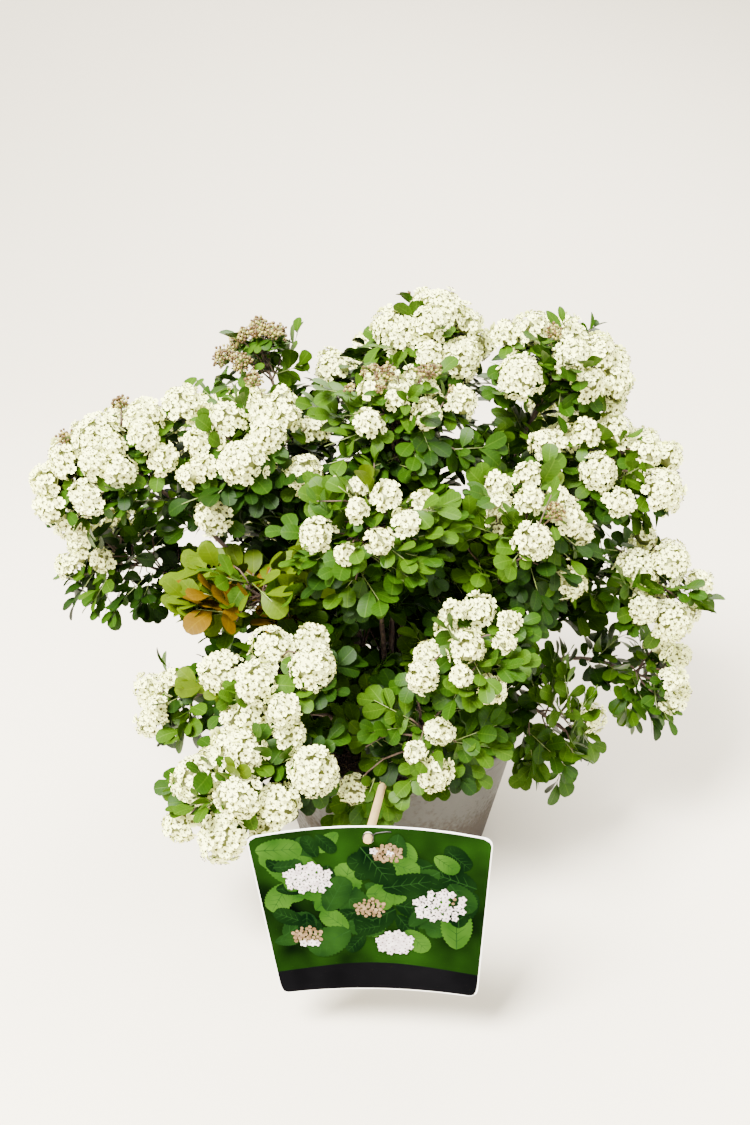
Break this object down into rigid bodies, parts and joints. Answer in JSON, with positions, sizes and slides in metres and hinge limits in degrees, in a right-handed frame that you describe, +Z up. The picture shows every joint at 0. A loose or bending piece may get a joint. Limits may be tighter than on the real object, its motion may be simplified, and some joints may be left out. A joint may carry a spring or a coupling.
{
  "type": "potted spirea shrub",
  "caption": "Low flowering shrub in a round pot: arching boughs, masses of leaves and domed blossom heads, and a card label on a peg.",
  "frame": {"origin": "centre of the pot's flat underside", "axes": "+Z up, -Y towards the plant's front, where the label hangs, +X to the right seen from the front"},
  "size_m": [0.5683, 0.5059, 0.477],
  "materials": {
    "pot": "soft grey plastic with a dull sheen, soiled with dried mud",
    "soil": "dark brown peat, crumbly and matte",
    "bark": "thin dark brown bark, matte, lightly fissured",
    "foliage": "fresh mid-green leaves and creamy white blossom, satin",
    "peg": "bare pale wood, matte",
    "label": "thin printed plastic card, dark green picture side, satin"
  },
  "bodies": {
    "root": {"pot": "pot", "soil": "soil", "stool": "bark", "label_peg": "peg", "label_card": "label", "bough_left_arm": "bark", "bough_left_shoulder": "bark", "bough_left_under": "bark", "bough_bud_spire": "bark", "bough_top_crest": "bark", "bough_top_right": "bark", "bough_right_upper": "bark", "bough_right_low": "bark", "bough_right_drop": "bark", "bough_right_sprig": "bark", "bough_centre_crest": "bark", "bough_centre_mid": "bark", "bough_centre_right": "bark", "bough_centre_low": "bark", "bough_front_low": "bark", "bough_bronze_top": "bark", "bough_cascade_top": "bark", "bough_cascade_low": "bark", "bough_left_low": "bark", "bough_back_left": "bark", "bough_back_top": "bark", "bough_back_right": "bark", "bough_back_low_left": "bark", "bough_back_low_right": "bark", "mass_left_arm": "foliage", "mass_left_shoulder": "foliage", "mass_left_under": "foliage", "mass_bud_spire": "foliage", "mass_top_crest": "foliage", "mass_top_right": "foliage", "mass_right_upper": "foliage", "mass_right_low": "foliage", "mass_right_drop": "foliage", "mass_right_sprig": "foliage", "mass_centre_crest": "foliage", "mass_centre_mid": "foliage", "mass_centre_right": "foliage", "mass_centre_low": "foliage", "mass_front_low": "foliage", "mass_bronze_top": "foliage", "mass_cascade_top": "foliage", "mass_cascade_low": "foliage", "mass_left_low": "foliage", "mass_back_left": "foliage", "mass_back_top": "foliage", "mass_back_right": "foliage", "mass_back_low_left": "foliage", "mass_back_low_right": "foliage", "mass_heart_left": "foliage", "mass_heart_right": "foliage", "mass_heart_back": "foliage"}
  },
  "joints": []
}
